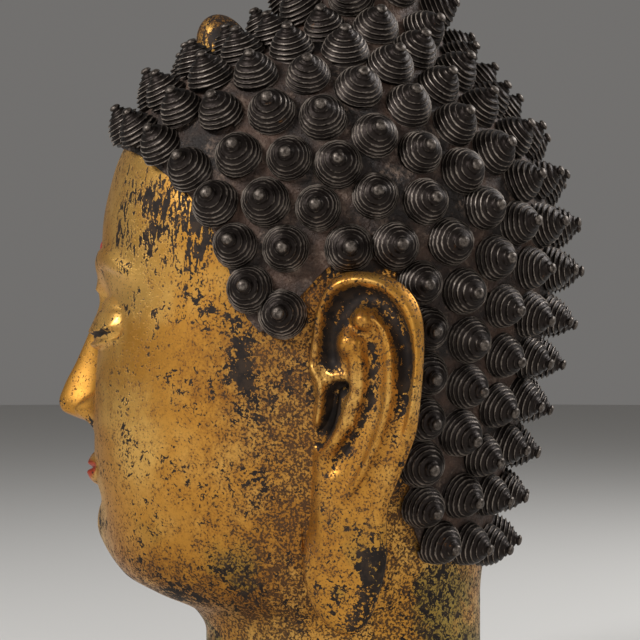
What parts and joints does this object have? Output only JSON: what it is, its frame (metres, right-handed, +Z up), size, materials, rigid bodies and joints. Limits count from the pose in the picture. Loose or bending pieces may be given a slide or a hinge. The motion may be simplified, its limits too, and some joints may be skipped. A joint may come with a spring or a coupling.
{
  "type": "buddha head sculpture",
  "caption": "Over-life-size gilt bronze head of the Buddha with snail-shell curls, cranial bump, topknot jewel, long lobed ears and a red bead between the brows, standing on its flat cut neck",
  "frame": {"origin": "middle of the head from left to right on the flat underside of the neck, on the surface it stands on", "axes": "+Z up, face looks along -Y, the head's left ear is on +X"},
  "size_m": [0.3094, 0.3549, 0.5458],
  "materials": {
    "gilt_bronze": "worn gilding over dark bronze, hair dark bronze",
    "red_bead": "polished"
  },
  "bodies": {
    "root": {"head": "gilt_bronze", "urna_bead": "red_bead"}
  },
  "joints": []
}
